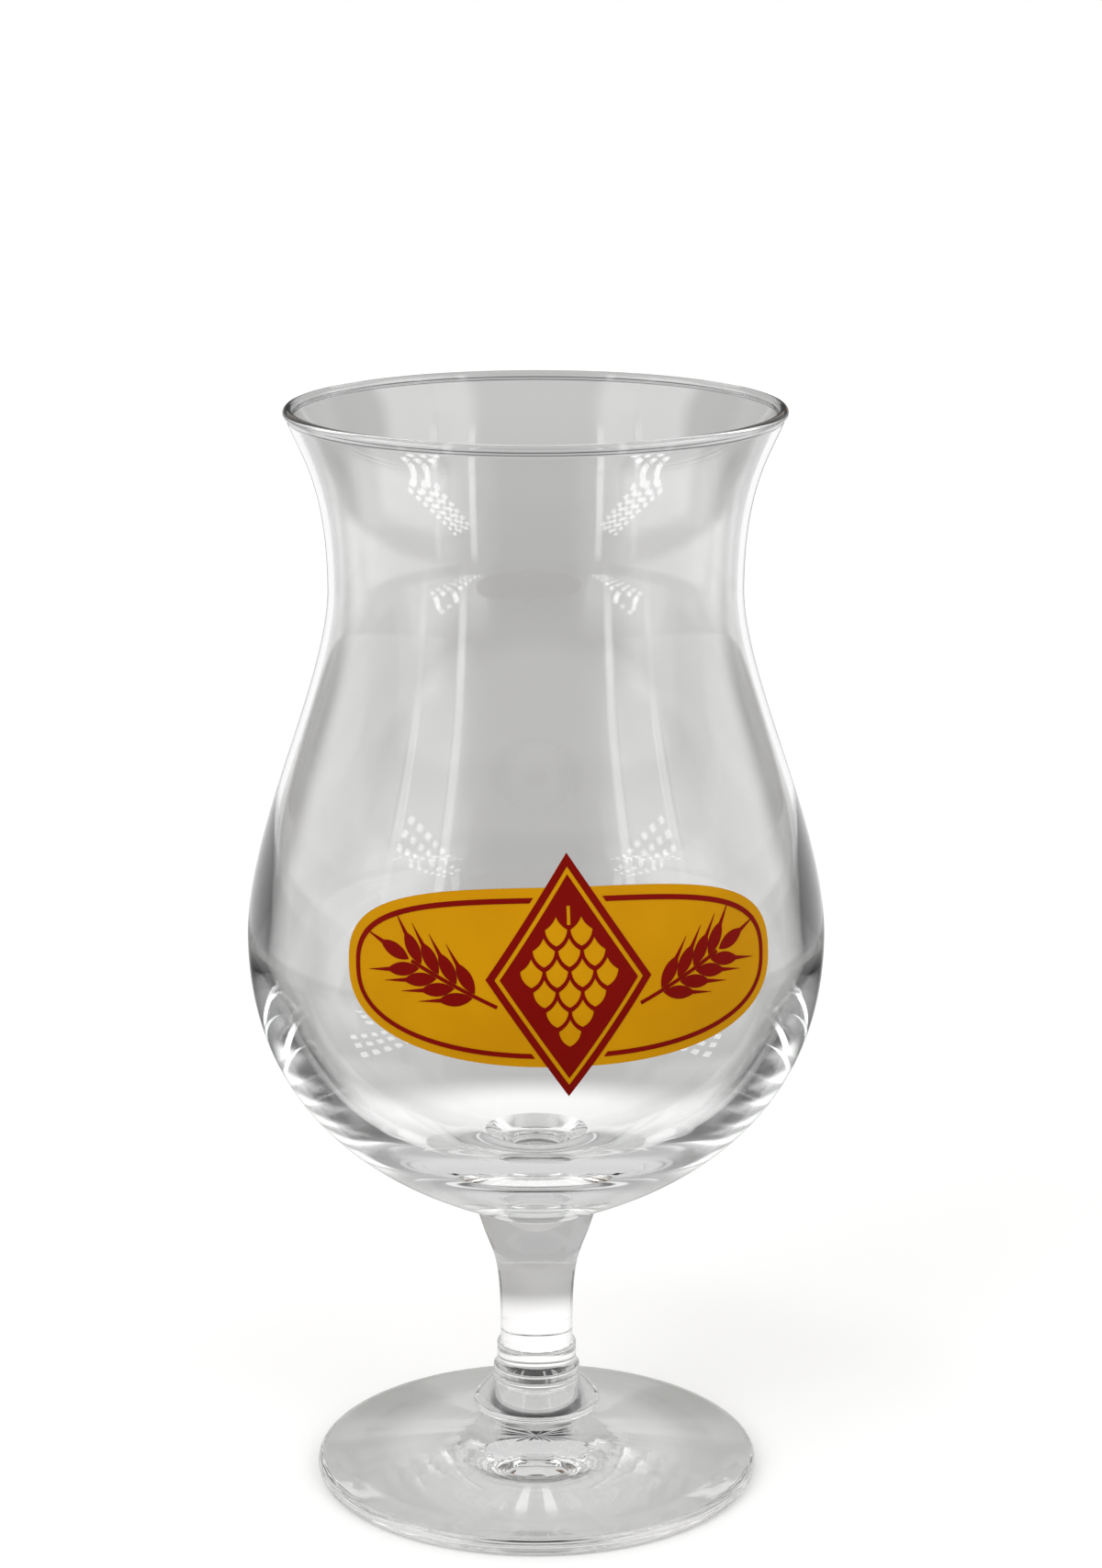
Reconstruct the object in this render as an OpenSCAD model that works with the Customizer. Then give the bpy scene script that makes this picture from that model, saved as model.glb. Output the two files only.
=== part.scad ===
// Stemmed tulip beer glass with a fired enamel print, standing on its foot.
// Millimetres, +Z up, origin at the middle of the foot's resting plane, print towards -Y.
// The heights stack from the foot up: foot, knop, collar, stem, lower bowl, shoulder, mouth.

/* [Foot] */
// Diameter of the foot
foot_d = 67.5; // [52:0.5:84]
// Thickness of the foot's rounded edge
foot_edge_h = 2.6; // [1.8:0.1:4.5]
// Rise of the foot from the top of its edge to the knop
foot_rise = 6; // [4:0.1:11]
// Diameter of the foot's neck under the knop
foot_neck_d = 14.4; // [11:0.1:18]
// Width of the flat ring that the foot rests on
rest_w = 4; // [2:0.1:8]
// Depth of the hollow under the foot
foot_hollow = 1.5; // [0.5:0.1:2.5]

/* [Knop] */
// Largest diameter of the knop
knop_d = 19.5; // [18.5:0.1:26]
// Height of the knop
knop_h = 7; // [5:0.1:11]
// Distance of the knop's short neck in from the edge of the weld ring above it
knop_neck_inset = 0.15; // [0.05:0.05:1]
// Height of that neck
knop_neck_h = 0.8; // [0.3:0.1:2]
// Radius of the knop's outer edge
knop_edge_r = 0.9; // [0.4:0.1:1.3]

/* [Stem] */
// Diameter of the stem just above the collar
stem_d = 11; // [9:0.1:13]
// Length of the stem between collar and bowl
stem_h = 22.3; // [12:0.1:60]
// Diameter of the stem where it meets the bowl
stem_top_d = 18.4; // [13:0.1:22]
// Angle at which the flared stem meets the bowl, up from level
stem_flare_angle = 75; // [60:1:85]

/* [Collar] */
// Distance that the collar's band stands out from the stem
collar_step = 0.55; // [0.5:0.05:1.5]
// Height of the collar's band
collar_h = 3.6; // [2:0.1:8]
// Distance that the weld ring under the band stands out from it
ring_step = 0.55; // [0.2:0.05:1.5]
// Height of the weld ring
ring_h = 1.3; // [0.8:0.1:3]
// Radius of the collar's rounded edges
collar_edge_r = 0.35; // [0.1:0.05:0.4]

/* [Bowl] */
// Diameter of the belly
belly_d = 86; // [76:0.5:100]
// Height from the stem weld to the belly
low_h = 43; // [34:0.5:60]
// Height from the belly to the waist
shoulder_h = 52.7; // [40:0.5:75]
// Diameter of the waist
waist_d = 60.8; // [50:0.5:70]
// Height from the waist to the top of the rim
mouth_h = 26.5; // [16:0.5:45]
// Outer diameter of the rim
rim_d = 73.1; // [62:0.5:84]
// Lean of the lip from upright
lip_angle = 20; // [5:1:35]
// Angle at which the bowl leaves the stem weld, up from level
base_angle = 26; // [10:1:40]

/* [Walls] */
// Thickness of the bowl's base on the axis
base_t = 8.7; // [5:0.1:14]
// Thickness of the wall at the belly
belly_t = 2.45; // [1.4:0.05:4]
// Thickness of the wall at the waist
waist_t = 0.95; // [0.7:0.05:1.8]
// Thickness of the wall just below the rim
lip_t = 1.1; // [0.8:0.05:1.3]
// Diameter of the fire-polished rim bead
bead_d = 1.5; // [1.4:0.05:2.4]

/* [Print] */
// Height of the print's middle above the belly
print_rise = 5.4; // [2:0.1:9]
// Half of the angle that the ground takes round the bowl
ground_half_angle = 44; // [34:1:54]
// Half of the ground's height
ground_half_h = 12.6; // [10:0.1:16]
// Thickness of the ground's enamel
ground_t = 0.12; // [0.08:0.01:0.3]
// Thickness of the top colour's enamel
top_colour_t = 0.08; // [0.05:0.01:0.2]
// Distance of the keyline from the ground's edge
keyline_inset = 1.3; // [0.6:0.1:2.4]
// Width of the keyline
keyline_w = 0.7; // [0.3:0.1:1.5]

/* [Lozenge] */
// Half of the lozenge's width
lozenge_half_w = 11.6; // [9:0.1:15]
// Half of the lozenge's height
lozenge_half_h = 17.2; // [14:0.1:19]
// Distance of the lozenge's inner line from its edge
lozenge_line_inset = 1; // [0.5:0.1:1.6]
// Width of the lozenge's inner line
lozenge_line_w = 0.6; // [0.3:0.1:1]
// Width of one scale of the hop cone
hop_scale_w = 3.1; // [2.4:0.1:3.4]
// Length of one scale of the hop cone
hop_scale_h = 4.8; // [4:0.1:5.2]
// Gap between the separate shapes of the motifs
motif_gap = 0.45; // [0.3:0.05:0.5]
// Length of the hop cone's stalk
hop_stalk_h = 2.6; // [1:0.1:4]

/* [Barley ears] */
// Angle round the bowl from the print's middle to the middle of each ear
ear_angle = 25; // [22:0.5:28]
// Lean of each ear from upright
ear_lean = 66; // [50:1:75]
// Length of the ear's stalk below its grains
ear_stalk_h = 3.6; // [2:0.1:6]
// Width of the stalk
ear_stalk_w = 0.5; // [0.3:0.05:0.9]
// Number of grains on each side of an ear
ear_rows = 4; // [3:1:5]
// Distance from one grain to the next
ear_pitch = 2.9; // [2.8:0.1:3.4]
// Width of one grain
grain_w = 1.9; // [1.2:0.1:2]
// Length of one grain
grain_h = 5; // [3.6:0.1:5.4]
// Lean of each grain from the stalk
grain_angle = 32; // [30:1:42]
// Length of one bristle past its grain
bristle_h = 3; // [1.5:0.1:5]
// Width of one bristle at its grain
bristle_w = 0.5; // [0.3:0.05:0.8]

/* [Hidden] */
$fn = 96;

// Overrun of cutting shapes past what they cut
over = 1;

// Steps along each curve of an outline
foot_steps = 8;
edge_steps = 8;
stem_steps = 12;
low_steps = 16;
shoulder_steps = 16;
mouth_steps = 12;
bead_steps = 14;
ground_steps = 72;

// Handles of the curves, as shares of the height or width that each curve spans
foot_cone_share = 0.78;
foot_cone_rise_share = 0.56;
foot_neck_share = 0.16;
foot_neck_drop_share = 0.34;
knop_edge_share = 0.34;
stem_low_share = 0.75;
stem_top_share = 0.44;
low_start_share = 0.29;
low_end_share = 0.67;
shoulder_start_share = 0.306;
shoulder_end_share = 0.26;
mouth_start_share = 0.59;
mouth_end_share = 0.2;
floor_share = 0.87;
inner_belly_share = 0.23;

// Share of the shoulder's height over which the belly's thick wall thins out
thinning_share = 0.42;
// Shares of the lower bowl and of the shoulder between which enamel may lie
print_low_share = 0.75;
print_high_share = 0.625;
// Roundness of the ground's outline, 2 for a plain oval
ground_power = 2.5;
// Numbers of scales in the hop cone's rows, from the stalk down
hop_rows = [2, 3, 4, 3, 2, 1];
// Share of the stalk's width by which the grains are set out from its middle
grain_seat_share = 0.1;
// Share of a grain's length that the last grain starts past its neighbours
last_grain_share = 0.3;

foot_r = foot_d / 2;
foot_edge_r = foot_edge_h / 2;
foot_neck_r = foot_neck_d / 2;
rest_outer_r = foot_r - foot_edge_r;
rest_inner_r = rest_outer_r - rest_w;
knop_r = knop_d / 2;
stem_r = stem_d / 2;
collar_r = stem_r + collar_step;
ring_r = collar_r + ring_step;
knop_neck_r = ring_r - knop_neck_inset;
weld_r = stem_top_d / 2;
belly_r = belly_d / 2;
waist_r = waist_d / 2;
bead_r = bead_d / 2;

knop_z = foot_edge_h + foot_rise;
ring_z = knop_z + knop_h;
collar_z = ring_z + ring_h;
stem_z = collar_z + collar_h;
weld_z = stem_z + stem_h;
belly_z = weld_z + low_h;
waist_z = belly_z + shoulder_h;
rim_z = waist_z + mouth_h;
print_z = belly_z + print_rise;

// Points on a cubic curve with four control points, its unit direction and its outward side
function curve_at(c, u) = pow(1 - u, 3) * c[0] + 3 * pow(1 - u, 2) * u * c[1]
    + 3 * (1 - u) * u * u * c[2] + pow(u, 3) * c[3];
function slope_at(c, u) = pow(1 - u, 2) * (c[1] - c[0]) + 2 * (1 - u) * u * (c[2] - c[1])
    + u * u * (c[3] - c[2]);
function outward_at(c, u) = let (s = slope_at(c, u) / norm(slope_at(c, u))) [s[1], -s[0]];
function curve(c, steps) = [for (i = [0:steps]) curve_at(c, i / steps)];
function arc(centre, r, from, to, steps) =
    [for (i = [0:steps]) let (a = from + (to - from) * i / steps) centre + r * [cos(a), sin(a)]];
function reversed(points) = [for (i = [len(points) - 1:-1:0]) points[i]];
function rest_of(points) = [for (i = [1:len(points) - 1]) points[i]];

// Outer curves of the bowl, from the stem weld up
weld_rise = low_start_share * low_h;
low_curve = [
    [weld_r, weld_z],
    [weld_r + weld_rise * cos(base_angle), weld_z + weld_rise * sin(base_angle)],
    [belly_r, belly_z - low_end_share * low_h],
    [belly_r, belly_z]
];
shoulder_curve = [
    [belly_r, belly_z],
    [belly_r, belly_z + shoulder_start_share * shoulder_h],
    [waist_r, waist_z - shoulder_end_share * shoulder_h],
    [waist_r, waist_z]
];
lip_out = [cos(lip_angle), -sin(lip_angle)];
lip_up = [sin(lip_angle), cos(lip_angle)];
bead_centre = [rim_d / 2 - bead_r, rim_z - bead_r];
bead_drop = sqrt(bead_r * bead_r - lip_t * lip_t / 4);
lip_end = bead_centre + lip_out * lip_t / 2 - lip_up * bead_drop;
mouth_curve = [
    [waist_r, waist_z],
    [waist_r, waist_z + mouth_start_share * mouth_h],
    lip_end - lip_up * mouth_end_share * mouth_h,
    lip_end
];

// Inner curve of the thick lower bowl, from the middle of the floor to the belly
floor_z = weld_z + base_t;
inner_belly_r = belly_r - belly_t;
low_inner_curve = [
    [0, floor_z],
    [floor_share * inner_belly_r, floor_z],
    [inner_belly_r, belly_z - inner_belly_share * (belly_z - floor_z)],
    [inner_belly_r, belly_z]
];

// Wall thickness along the shoulder and the mouth
function shoulder_wall(u) = let (s = min(u / thinning_share, 1))
    waist_t + (belly_t - waist_t) * (1 + cos(180 * s)) / 2;
function mouth_wall(u) = waist_t + (lip_t - waist_t) * u;
shoulder_inner = [for (i = [0:shoulder_steps]) let (u = i / shoulder_steps)
    curve_at(shoulder_curve, u) - shoulder_wall(u) * outward_at(shoulder_curve, u)];
mouth_inner = [for (i = [0:mouth_steps]) let (u = i / mouth_steps)
    curve_at(mouth_curve, u) - mouth_wall(u) * outward_at(mouth_curve, u)];

// Part of the bowl's outer outline that carries the print, moved out by a gap
function print_band(gap) = concat(
    [for (i = [print_low_share * low_steps:low_steps]) let (u = i / low_steps)
        curve_at(low_curve, u) + gap * outward_at(low_curve, u)],
    [for (i = [1:print_high_share * shoulder_steps]) let (u = i / shoulder_steps)
        curve_at(shoulder_curve, u) + gap * outward_at(shoulder_curve, u)]
);

module foot() {
    cone_run = rest_outer_r - foot_neck_r;
    top_curve = [
        [rest_outer_r, foot_edge_h],
        [rest_outer_r - foot_cone_share * cone_run, foot_edge_h + foot_cone_rise_share * foot_rise],
        [foot_neck_r + foot_neck_share * cone_run, knop_z - foot_neck_drop_share * foot_rise],
        [foot_neck_r, knop_z]
    ];
    hollow = [for (i = [0:foot_steps]) let (u = i / foot_steps)
        [u * rest_inner_r, foot_hollow * (1 - u * u)]];
    color([0.82, 0.85, 0.84, 0.5])
        rotate_extrude()
            polygon(concat(
                hollow,
                arc([rest_outer_r, foot_edge_r], foot_edge_r, -90, 90, edge_steps),
                rest_of(curve(top_curve, foot_steps)),
                [[0, knop_z]]
            ));
}

module knop() {
    edge_z = knop_z + knop_edge_share * knop_h;
    color([0.8, 0.83, 0.82, 0.5])
        rotate_extrude()
            polygon(concat(
                [[0, knop_z], [foot_neck_r, knop_z]],
                arc([knop_r - knop_edge_r, edge_z], knop_edge_r, -65, 48, edge_steps),
                [[knop_neck_r, ring_z - knop_neck_h], [knop_neck_r, ring_z], [0, ring_z]]
            ));
}

module collar() {
    ring_mid_z = ring_z + ring_h / 2;
    ring_edge_r = min(collar_edge_r, ring_h / 2);
    top_z = stem_z - collar_edge_r;
    color([0.84, 0.86, 0.85, 0.5])
        rotate_extrude()
            polygon(concat(
                [[0, ring_z]],
                arc([ring_r - ring_edge_r, ring_z + ring_edge_r], ring_edge_r, -90, 0, edge_steps),
                arc([ring_r - ring_edge_r, collar_z - ring_edge_r], ring_edge_r, 0, 90, edge_steps),
                [[collar_r, collar_z]],
                arc([collar_r - collar_edge_r, top_z], collar_edge_r, 0, 90, edge_steps),
                [[0, stem_z]]
            ));
}

module stem() {
    flare = stem_top_share * stem_h;
    side_curve = [
        [stem_r, stem_z],
        [stem_r, stem_z + stem_low_share * stem_h],
        [weld_r - flare * cos(stem_flare_angle), weld_z - flare * sin(stem_flare_angle)],
        [weld_r, weld_z]
    ];
    color([0.85, 0.87, 0.88, 0.5])
        rotate_extrude()
            polygon(concat([[0, stem_z]], curve(side_curve, stem_steps), [[0, weld_z]]));
}

module bowl() {
    bead_angle = acos(lip_t / bead_d);
    color([0.86, 0.88, 0.89, 0.4])
        rotate_extrude()
            polygon(concat(
                [[0, weld_z]],
                curve(low_curve, low_steps),
                rest_of(curve(shoulder_curve, shoulder_steps)),
                rest_of(curve(mouth_curve, mouth_steps)),
                [for (i = [1:bead_steps - 1])
                    let (a = -bead_angle + (180 + 2 * bead_angle) * i / bead_steps)
                    bead_centre + bead_r * (cos(a) * lip_out + sin(a) * lip_up)],
                reversed(mouth_inner),
                rest_of(reversed(shoulder_inner)),
                rest_of(reversed(curve(low_inner_curve, low_steps)))
            ));
}

// A layer of enamel over the print's band, between two distances from the glass
module enamel_layer(from, to) {
    rotate_extrude()
        polygon(concat(print_band(from), reversed(print_band(to))));
}

// Straight projection of a flat drawing onto the front of the bowl, turned round the axis
module project_at(angle) {
    rotate([0, 0, angle])
        translate([0, 0, print_z])
            rotate([90, 0, 0])
                linear_extrude(height = belly_r + over)
                    children();
}

// Rounded oval whose half width is an angle round the belly
module ground_outline(inset) {
    half_angle = ground_half_angle - inset / belly_r * 180 / PI;
    half_h = ground_half_h - inset;
    polygon([for (i = [0:ground_steps - 1])
        let (a = 360 * i / ground_steps, c = cos(a), s = sin(a))
        [
            belly_r * sin(half_angle * sign(c) * pow(abs(c), 2 / ground_power)),
            half_h * sign(s) * pow(abs(s), 2 / ground_power)
        ]]);
}

// Upright lozenge, drawn in evenly on all sides by an inset
module lozenge_outline(inset) {
    side = norm([lozenge_half_w, lozenge_half_h]);
    w = lozenge_half_w - inset * side / lozenge_half_h;
    h = lozenge_half_h - inset * side / lozenge_half_w;
    polygon([[w, 0], [0, h], [-w, 0], [0, -h]]);
}

// Pointed leaf shape between two arcs, lying upright round the origin
module leaf(w, h) {
    r = (w * w + h * h) / (4 * w);
    intersection() {
        translate([r - w / 2, 0])
            circle(r);
        translate([w / 2 - r, 0])
            circle(r);
    }
}

// Scale of the hop cone, a leaf with room cut into its top for its two neighbours in the row above
module hop_scale() {
    room_w = hop_scale_w + 2 * motif_gap;
    room_h = hop_scale_h * room_w / hop_scale_w;
    difference() {
        leaf(hop_scale_w, hop_scale_h);
        for (side = [-1, 1])
            translate([side * (hop_scale_w + motif_gap) / 2, hop_scale_h / 2 + motif_gap])
                leaf(room_w, room_h);
    }
}

// Hop cone of nested rows of scales with its stalk, hanging point down
module hop_cone() {
    row_pitch = hop_scale_h / 2 + motif_gap;
    top_y = row_pitch * (len(hop_rows) - 1) / 2;
    for (row = [0:len(hop_rows) - 1])
        for (i = [0:hop_rows[row] - 1])
            translate([
                (i - (hop_rows[row] - 1) / 2) * (hop_scale_w + motif_gap),
                top_y - row * row_pitch
            ])
                hop_scale();
    translate([-ear_stalk_w / 2, top_y + motif_gap])
        square([ear_stalk_w, hop_stalk_h]);
}

// One grain standing on the origin, with its bristle
module barley_grain() {
    translate([0, grain_h / 2])
        leaf(grain_w, grain_h);
    polygon([[-bristle_w / 2, grain_h / 2], [bristle_w / 2, grain_h / 2], [0, grain_h + bristle_h]]);
}

// Barley ear, drawn upright with its middle at the origin
module barley_ear() {
    grains_h = ear_pitch * (ear_rows - 1);
    stalk_h = ear_stalk_h + grains_h + last_grain_share * grain_h;
    translate([0, -(stalk_h + grain_h) / 2]) {
        translate([-ear_stalk_w / 2, 0])
            square([ear_stalk_w, stalk_h]);
        for (i = [0:ear_rows - 1])
            for (side = [-1, 1])
                translate([side * grain_seat_share * ear_stalk_w, ear_stalk_h + i * ear_pitch])
                    rotate([0, 0, -side * grain_angle])
                        barley_grain();
        translate([0, stalk_h + motif_gap])
            barley_grain();
    }
}

module print_ground() {
    color([0.75, 0.52, 0.03])
        intersection() {
            enamel_layer(0, ground_t);
            project_at(0)
                union() {
                    ground_outline(0);
                    lozenge_outline(0);
                }
        }
}

module print_keyline() {
    color([0.5, 0.08, 0.03])
        intersection() {
            enamel_layer(ground_t, ground_t + top_colour_t);
            project_at(0)
                difference() {
                    ground_outline(keyline_inset);
                    ground_outline(keyline_inset + keyline_w);
                    lozenge_outline(-keyline_w);
                }
        }
}

module print_lozenge() {
    line_outer = lozenge_line_inset;
    line_inner = lozenge_line_inset + lozenge_line_w;
    color([0.5, 0.08, 0.03])
        intersection() {
            enamel_layer(ground_t, ground_t + top_colour_t);
            project_at(0)
                difference() {
                    lozenge_outline(0);
                    difference() {
                        lozenge_outline(line_outer);
                        lozenge_outline(line_inner);
                    }
                    hop_cone();
                }
        }
}

module print_ear(side) {
    color([0.5, 0.08, 0.03])
        intersection() {
            enamel_layer(ground_t, ground_t + top_colour_t);
            project_at(side * ear_angle)
                rotate([0, 0, -side * ear_lean])
                    barley_ear();
        }
}

module print_ear_left() {
    print_ear(-1);
}

module print_ear_right() {
    print_ear(1);
}

foot();
knop();
collar();
stem();
bowl();
print_ground();
print_keyline();
print_lozenge();
print_ear_left();
print_ear_right();
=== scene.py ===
import math

import bpy
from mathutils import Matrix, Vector


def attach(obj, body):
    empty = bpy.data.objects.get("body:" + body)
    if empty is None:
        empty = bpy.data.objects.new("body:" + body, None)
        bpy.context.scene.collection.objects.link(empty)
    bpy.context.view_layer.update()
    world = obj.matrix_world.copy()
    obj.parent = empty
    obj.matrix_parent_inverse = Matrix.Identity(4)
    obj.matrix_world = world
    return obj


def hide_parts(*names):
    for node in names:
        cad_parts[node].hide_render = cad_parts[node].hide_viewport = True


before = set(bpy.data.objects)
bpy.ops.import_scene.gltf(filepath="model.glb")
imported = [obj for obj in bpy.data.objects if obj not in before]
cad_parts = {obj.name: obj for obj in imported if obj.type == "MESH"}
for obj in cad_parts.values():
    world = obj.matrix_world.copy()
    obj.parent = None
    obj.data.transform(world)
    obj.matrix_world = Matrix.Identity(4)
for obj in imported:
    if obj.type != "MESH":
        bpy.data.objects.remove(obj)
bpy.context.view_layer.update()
mm = 0.001
weldDistance = 0.0005 * mm
print("frame loaded:", len(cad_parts), "parts")


# Helpers for drawing outlines in millimetres and turning them into glass

def pickOnly(*things):
    if bpy.context.object and bpy.context.object.mode != "OBJECT":
        bpy.ops.object.mode_set(mode="OBJECT")
    bpy.ops.object.select_all(action="DESELECT")
    for thing in things:
        thing.select_set(True)
    if things:
        bpy.context.view_layer.objects.active = things[-1]


def curveAt(curve, u):
    a, b, c, d = (Vector(p) for p in curve)
    return (1 - u) ** 3 * a + 3 * (1 - u) ** 2 * u * b + 3 * (1 - u) * u * u * c + u ** 3 * d


def outwardAt(curve, u):
    a, b, c, d = (Vector(p) for p in curve)
    slope = (1 - u) ** 2 * (b - a) + 2 * (1 - u) * u * (c - b) + u * u * (d - c)
    slope.normalize()
    return Vector((slope.y, -slope.x))


def along(curve, steps):
    return [curveAt(curve, i / steps) for i in range(steps + 1)]


def roundedCorner(centre, radius, start, end, steps):
    turns = [math.radians(start + (end - start) * i / steps) for i in range(steps + 1)]
    return [Vector(centre) + radius * Vector((math.cos(t), math.sin(t))) for t in turns]


def drawLine(name, points):
    # one vertex, pulled along the outline point by point
    pickOnly()
    bpy.ops.mesh.primitive_plane_add(size=mm, location=(0, 0, 0))
    line = bpy.context.object
    line.name = line.data.name = name
    bpy.ops.object.mode_set(mode="EDIT")
    bpy.ops.mesh.select_all(action="SELECT")
    bpy.ops.mesh.merge(type="CENTER")
    bpy.ops.transform.translate(value=Vector((points[0][0], 0, points[0][1])) * mm)
    for before, after in zip(points, points[1:]):
        step = Vector((after[0] - before[0], 0, after[1] - before[1])) * mm
        bpy.ops.mesh.extrude_vertices_move(TRANSFORM_OT_translate={"value": step})
    return line


def turnOnLathe(name, points, steps, angle=360.0):
    line = drawLine(name, points)
    bpy.ops.mesh.select_all(action="SELECT")
    if angle < 360:  # an open turn is centred on the front, -Y
        bpy.ops.transform.rotate(value=math.radians(90 - angle / 2), orient_axis="Z",
                                 center_override=(0, 0, 0))
    bpy.ops.mesh.spin(steps=steps, angle=math.radians(angle), center=(0, 0, 0), axis=(0, 0, 1))
    bpy.ops.mesh.select_all(action="SELECT")
    bpy.ops.mesh.remove_doubles(threshold=weldDistance)
    bpy.ops.mesh.normals_make_consistent(inside=False)
    bpy.ops.object.mode_set(mode="OBJECT")
    return line


def smoothBy(piece, degrees):
    pickOnly(piece)
    bpy.ops.object.shade_smooth_by_angle(angle=math.radians(degrees))


def paint(piece, *materials):
    piece.data.materials.clear()
    for material in materials:
        piece.data.materials.append(material)


def fuseAt(piece, *heights):
    # flat weld faces inside the glass get the second material, so that light runs on through them
    flatness, reach = 0.999, 0.05
    for face in piece.data.polygons:
        flat = abs(face.normal.z) > flatness
        if flat and any(abs(face.center.z / mm - h) < reach for h in heights):
            face.material_index = 1
            face.use_smooth = False


def place(piece, slotName, *nodes):
    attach(piece, "root")
    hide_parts(*nodes)


# Materials

def newMaterial(name):
    material = bpy.data.materials.new(name)
    material.use_nodes = True
    nodes = material.node_tree.nodes
    return material, nodes, material.node_tree.links, nodes["Principled BSDF"]


def addMath(nodes, operation, second=None):
    step = nodes.new("ShaderNodeMath")
    step.operation = operation
    if second is not None:
        step.inputs[1].default_value = second
    return step


def addRange(nodes, start, end, low=0.0, high=1.0, interpolation="SMOOTHSTEP"):
    fade = nodes.new("ShaderNodeMapRange")
    fade.interpolation_type = interpolation
    for socket, value in zip(("From Min", "From Max", "To Min", "To Max"), (start, end, low, high)):
        fade.inputs[socket].default_value = value
    return fade


def addNoise(nodes, scale, detail):
    noise = nodes.new("ShaderNodeTexNoise")
    noise.inputs["Scale"].default_value = scale
    noise.inputs["Detail"].default_value = detail
    return noise


def addBump(nodes, strength, distance):
    bump = nodes.new("ShaderNodeBump")
    bump.inputs["Strength"].default_value = strength
    bump.inputs["Distance"].default_value = distance
    return bump


def addMix(nodes, first, second):
    colour = nodes.new("ShaderNodeMix")
    colour.data_type = "RGBA"
    colour.inputs["A"].default_value = (*first, 1)
    colour.inputs["B"].default_value = (*second, 1)
    return colour


glass = {"index": 1.52, "stretch": (1.0, 1.0, 0.35), "waveDetail": 1.0, "bumpDepth": 0.001,
         "edgeBlend": 0.5, "edgePower": 3.0, "spokeSize": 2.6, "spokeDetail": 2.0}


def clearGlass(name, tint, edgeTint, ripple, rippleSize, spokes=0.0, thinner=None):
    material, nodes, links, body = newMaterial(name)
    body.inputs["Roughness"].default_value = 0.0
    body.inputs["IOR"].default_value = glass["index"]
    body.inputs["Transmission Weight"].default_value = 1.0
    where = nodes.new("ShaderNodeTexCoord")
    stretch = nodes.new("ShaderNodeMapping")
    stretch.inputs["Scale"].default_value = glass["stretch"]
    waves = addNoise(nodes, rippleSize, glass["waveDetail"])
    bump = addBump(nodes, ripple, glass["bumpDepth"])
    facing = nodes.new("ShaderNodeLayerWeight")
    facing.inputs["Blend"].default_value = glass["edgeBlend"]
    share = grazing = addMath(nodes, "POWER", glass["edgePower"])
    colour = addMix(nodes, tint, edgeTint)
    links.new(where.outputs["Object"], stretch.inputs["Vector"])
    links.new(stretch.outputs["Vector"], waves.inputs["Vector"])
    links.new(waves.outputs["Fac"], bump.inputs["Height"])
    links.new(facing.outputs["Facing"], grazing.inputs[0])
    if thinner:  # the wall is thin above these heights and shows less colour
        low, high, least = thinner
        split = nodes.new("ShaderNodeSeparateXYZ")
        depth = addRange(nodes, high * mm, low * mm, least, interpolation="LINEAR")
        share = addMath(nodes, "MULTIPLY")
        links.new(where.outputs["Object"], split.inputs["Vector"])
        links.new(split.outputs["Z"], depth.inputs["Value"])
        links.new(depth.outputs["Result"], share.inputs[0])
        links.new(grazing.outputs["Value"], share.inputs[1])
    if spokes:  # faint ridges that run out from the axis, as on spun glass
        flatten = nodes.new("ShaderNodeVectorMath")
        flatten.operation = "MULTIPLY"
        flatten.inputs[1].default_value = (1, 1, 0)
        heading = nodes.new("ShaderNodeVectorMath")
        heading.operation = "NORMALIZE"
        rays = addNoise(nodes, glass["spokeSize"], glass["spokeDetail"])
        ridges = addBump(nodes, spokes, glass["bumpDepth"])
        links.new(where.outputs["Object"], flatten.inputs[0])
        links.new(flatten.outputs["Vector"], heading.inputs[0])
        links.new(heading.outputs["Vector"], rays.inputs["Vector"])
        links.new(rays.outputs["Fac"], ridges.inputs["Height"])
        links.new(bump.outputs["Normal"], ridges.inputs["Normal"])
        bump = ridges
    links.new(share.outputs["Value"], colour.inputs["Factor"])
    links.new(colour.outputs["Result"], body.inputs["Base Color"])
    links.new(bump.outputs["Normal"], body.inputs["Normal"])
    return material


def fusedSeam():
    material, nodes, links, body = newMaterial("fusedSeam")
    nodes.remove(body)
    clear = nodes.new("ShaderNodeBsdfTransparent")
    links.new(clear.outputs["BSDF"], nodes["Material Output"].inputs["Surface"])
    return material


enamel = {"cloudDetail": 4.0, "cloudRange": (0.3, 0.7), "grainShare": 18, "grainDetail": 2.0,
          "bump": 0.12, "bumpDepth": 0.00005, "roughness": 0.5, "specular": 0.05}


def firedEnamel(name, pale, deep, cloudSize):
    material, nodes, links, body = newMaterial(name)
    where = nodes.new("ShaderNodeTexCoord")
    clouds = addNoise(nodes, cloudSize, enamel["cloudDetail"])
    grain = addNoise(nodes, cloudSize * enamel["grainShare"], enamel["grainDetail"])
    spread = addRange(nodes, *enamel["cloudRange"], interpolation="LINEAR")
    colour = addMix(nodes, deep, pale)
    bump = addBump(nodes, enamel["bump"], enamel["bumpDepth"])
    body.inputs["Roughness"].default_value = enamel["roughness"]
    body.inputs["Specular IOR Level"].default_value = enamel["specular"]
    links.new(where.outputs["Object"], clouds.inputs["Vector"])
    links.new(where.outputs["Object"], grain.inputs["Vector"])
    links.new(clouds.outputs["Fac"], spread.inputs["Value"])
    links.new(spread.outputs["Result"], colour.inputs["Factor"])
    links.new(colour.outputs["Result"], body.inputs["Base Color"])
    links.new(grain.outputs["Fac"], bump.inputs["Height"])
    links.new(bump.outputs["Normal"], body.inputs["Normal"])
    return material


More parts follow.
